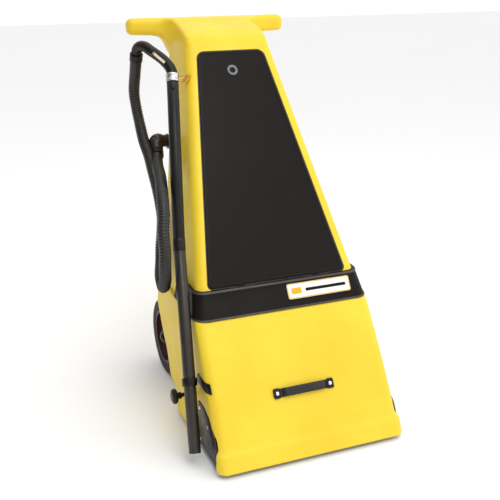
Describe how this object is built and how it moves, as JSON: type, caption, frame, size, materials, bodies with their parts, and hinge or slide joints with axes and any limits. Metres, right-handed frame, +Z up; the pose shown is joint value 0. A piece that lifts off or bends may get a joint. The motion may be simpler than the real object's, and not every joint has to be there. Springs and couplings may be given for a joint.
{
  "type": "carpet cleaner machine",
  "caption": "Upright wide-area carpet cleaner: leaning moulded tower with cross handle and door, brush housing on rear wheels, clipped wand and corrugated hose.",
  "frame": {"origin": "on the floor, below the middle of the machine", "axes": "front faces -Y, +X to the right of the machine seen from the front (the wand side is -X), +Z up"},
  "size_m": [0.697, 0.9201, 1.155],
  "materials": {
    "yellow_polyethylene": "satin moulded polyethylene",
    "dark_band": "satin moulded, dark brown",
    "black_plastic": "satin",
    "door_black": "satin black",
    "side_plate_dark": "dark powder coat",
    "steel": "zinc-plated",
    "chrome_screws": "bright",
    "frame_grey": "grey paint",
    "motor_aluminium": "cast",
    "glide_grey": "nylon",
    "tyre_black": "rubber",
    "hub_maroon": "moulded",
    "rubber_black": "satin rubber",
    "bristle": "nylon bristle",
    "bag_fabric": "woven",
    "filter_paper": "pleated",
    "wand_black": "satin black tube",
    "collar_silver": "satin",
    "brass": "satin",
    "slider_cream": "cream",
    "switch_red": "gloss",
    "switch_green": "gloss",
    "button_white": "gloss",
    "label_white": "printed plate",
    "badge_silver": "satin"
  },
  "bodies": {
    "root": {"tower_shell": "yellow_polyethylene", "lower_housing": "yellow_polyethylene", "belt_band": "dark_band", "rear_service_cover": "black_plastic", "case_screws": "chrome_screws", "base_chassis": "frame_grey", "brush_tunnel": "frame_grey", "side_plate_left": "side_plate_dark", "side_plate_right": "side_plate_dark", "floor_glides": "glide_grey", "brush_bearings": "steel", "drive_belt": "rubber_black", "brush_motor": "motor_aluminium", "vacuum_motor": "motor_aluminium", "suction_duct": "black_plastic", "bag_chamber_floor": "black_plastic", "bag_holder": "black_plastic", "bag_hook": "steel", "dust_bag": "bag_fabric", "exhaust_filter": "filter_paper", "axle": "steel", "axle_clips": "steel", "knob_bushings": "black_plastic", "door_seal": "rubber_black", "door_hinge_pins": "steel", "name_plate": "label_white", "lift_strap": "rubber_black", "strap_end_caps": "black_plastic", "switch_panel": "black_plastic", "power_inlet": "black_plastic", "lower_cord_hook": "black_plastic", "wand_clip": "rubber_black", "wand_hook": "brass", "hose_elbow": "black_plastic", "hose": "rubber_black"},
    "wheel_left": {"tyre_left": "tyre_black", "wheel_hub_left": "hub_maroon"},
    "wheel_right": {"tyre_right": "tyre_black", "wheel_hub_right": "hub_maroon"},
    "brush": {"brush_core": "black_plastic", "brush_bristles": "bristle", "brush_pulley": "motor_aluminium"},
    "motor_rotor": {"motor_pulley": "motor_aluminium"},
    "fan": {"fan_impeller": "motor_aluminium"},
    "knob_left": {"side_knob_left": "black_plastic"},
    "knob_right": {"side_knob_right": "black_plastic"},
    "door": {"front_door": "door_black", "door_badge": "badge_silver"},
    "vacuum_rocker": {"vacuum_switch": "switch_red"},
    "brush_rocker": {"brush_switch": "switch_green"},
    "reset": {"reset_button": "button_white"},
    "hook": {"upper_cord_hook": "black_plastic"},
    "wand": {"wand_lower_tube": "wand_black", "wand_upper_tube": "wand_black", "wand_joint_ring": "black_plastic", "wand_collar": "collar_silver", "wand_lock_button": "black_plastic", "hand_tube": "wand_black", "hose_cuff": "rubber_black"},
    "slider": {"bleed_slider": "slider_cream"}
  },
  "joints": [
    {"name": "wheel_left_spin", "type": "hinge", "parent": "root", "child": "wheel_left", "pos_m": [-0.226, 0.217, 0.128], "axis": [1, 0, 0], "continuous": true},
    {"name": "wheel_right_spin", "type": "hinge", "parent": "root", "child": "wheel_right", "pos_m": [0.226, 0.217, 0.128], "axis": [1, 0, 0], "continuous": true},
    {"name": "brush_spin", "type": "hinge", "parent": "root", "child": "brush", "pos_m": [0, -0.335, 0.056], "axis": [1, 0, 0], "continuous": true},
    {"name": "motor_spin", "type": "hinge", "parent": "root", "child": "motor_rotor", "pos_m": [-0.19, -0.12, 0.15], "axis": [1, 0, 0], "continuous": true},
    {"name": "fan_spin", "type": "hinge", "parent": "root", "child": "fan", "pos_m": [0.108, -0.07, 0.25], "axis": [0, 0, 1], "continuous": true},
    {"name": "knob_left_turn", "type": "hinge", "parent": "root", "child": "knob_left", "pos_m": [-0.32, -0.193, 0.134], "axis": [-1, 0, 0], "range_deg": [0, 270]},
    {"name": "knob_right_turn", "type": "hinge", "parent": "root", "child": "knob_right", "pos_m": [0.32, -0.193, 0.134], "axis": [1, 0, 0], "range_deg": [0, 270]},
    {"name": "door_open", "type": "hinge", "parent": "root", "child": "door", "pos_m": [0, -0.18477, 0.44432], "axis": [1, 0, 0], "range_deg": [0, 65]},
    {"name": "vacuum_switch_rock", "type": "hinge", "parent": "root", "child": "vacuum_rocker", "pos_m": [-0.032, 0.39948, 1.005], "axis": [1, 0, 0], "range_deg": [-10, 10]},
    {"name": "brush_switch_rock", "type": "hinge", "parent": "root", "child": "brush_rocker", "pos_m": [0, 0.39948, 1.005], "axis": [1, 0, 0], "range_deg": [-10, 10]},
    {"name": "reset_press", "type": "slide", "parent": "root", "child": "reset", "axis": [0, -0.8998, 0.4364], "range_m": [0, 0.003], "stiffness_N_per_m": 300},
    {"name": "upper_hook_turn", "type": "hinge", "parent": "root", "child": "hook", "pos_m": [0, 0.32033, 0.8418], "axis": [0, 0.8998, -0.4364], "range_deg": [0, 180]},
    {"name": "wand_lift", "type": "slide", "parent": "root", "child": "wand", "axis": [0.0863, 0.4432, 0.8923], "range_m": [0, 0.2], "deforming": ["hose"]},
    {"name": "bleed_slide", "type": "slide", "parent": "wand", "child": "slider", "axis": [-0.5086, 0.686, 0.5204], "range_m": [0, 0.02]}
  ],
  "couplings": [
    {"joint": "motor_spin", "follows": "brush_spin", "ratio": 2}
  ]
}
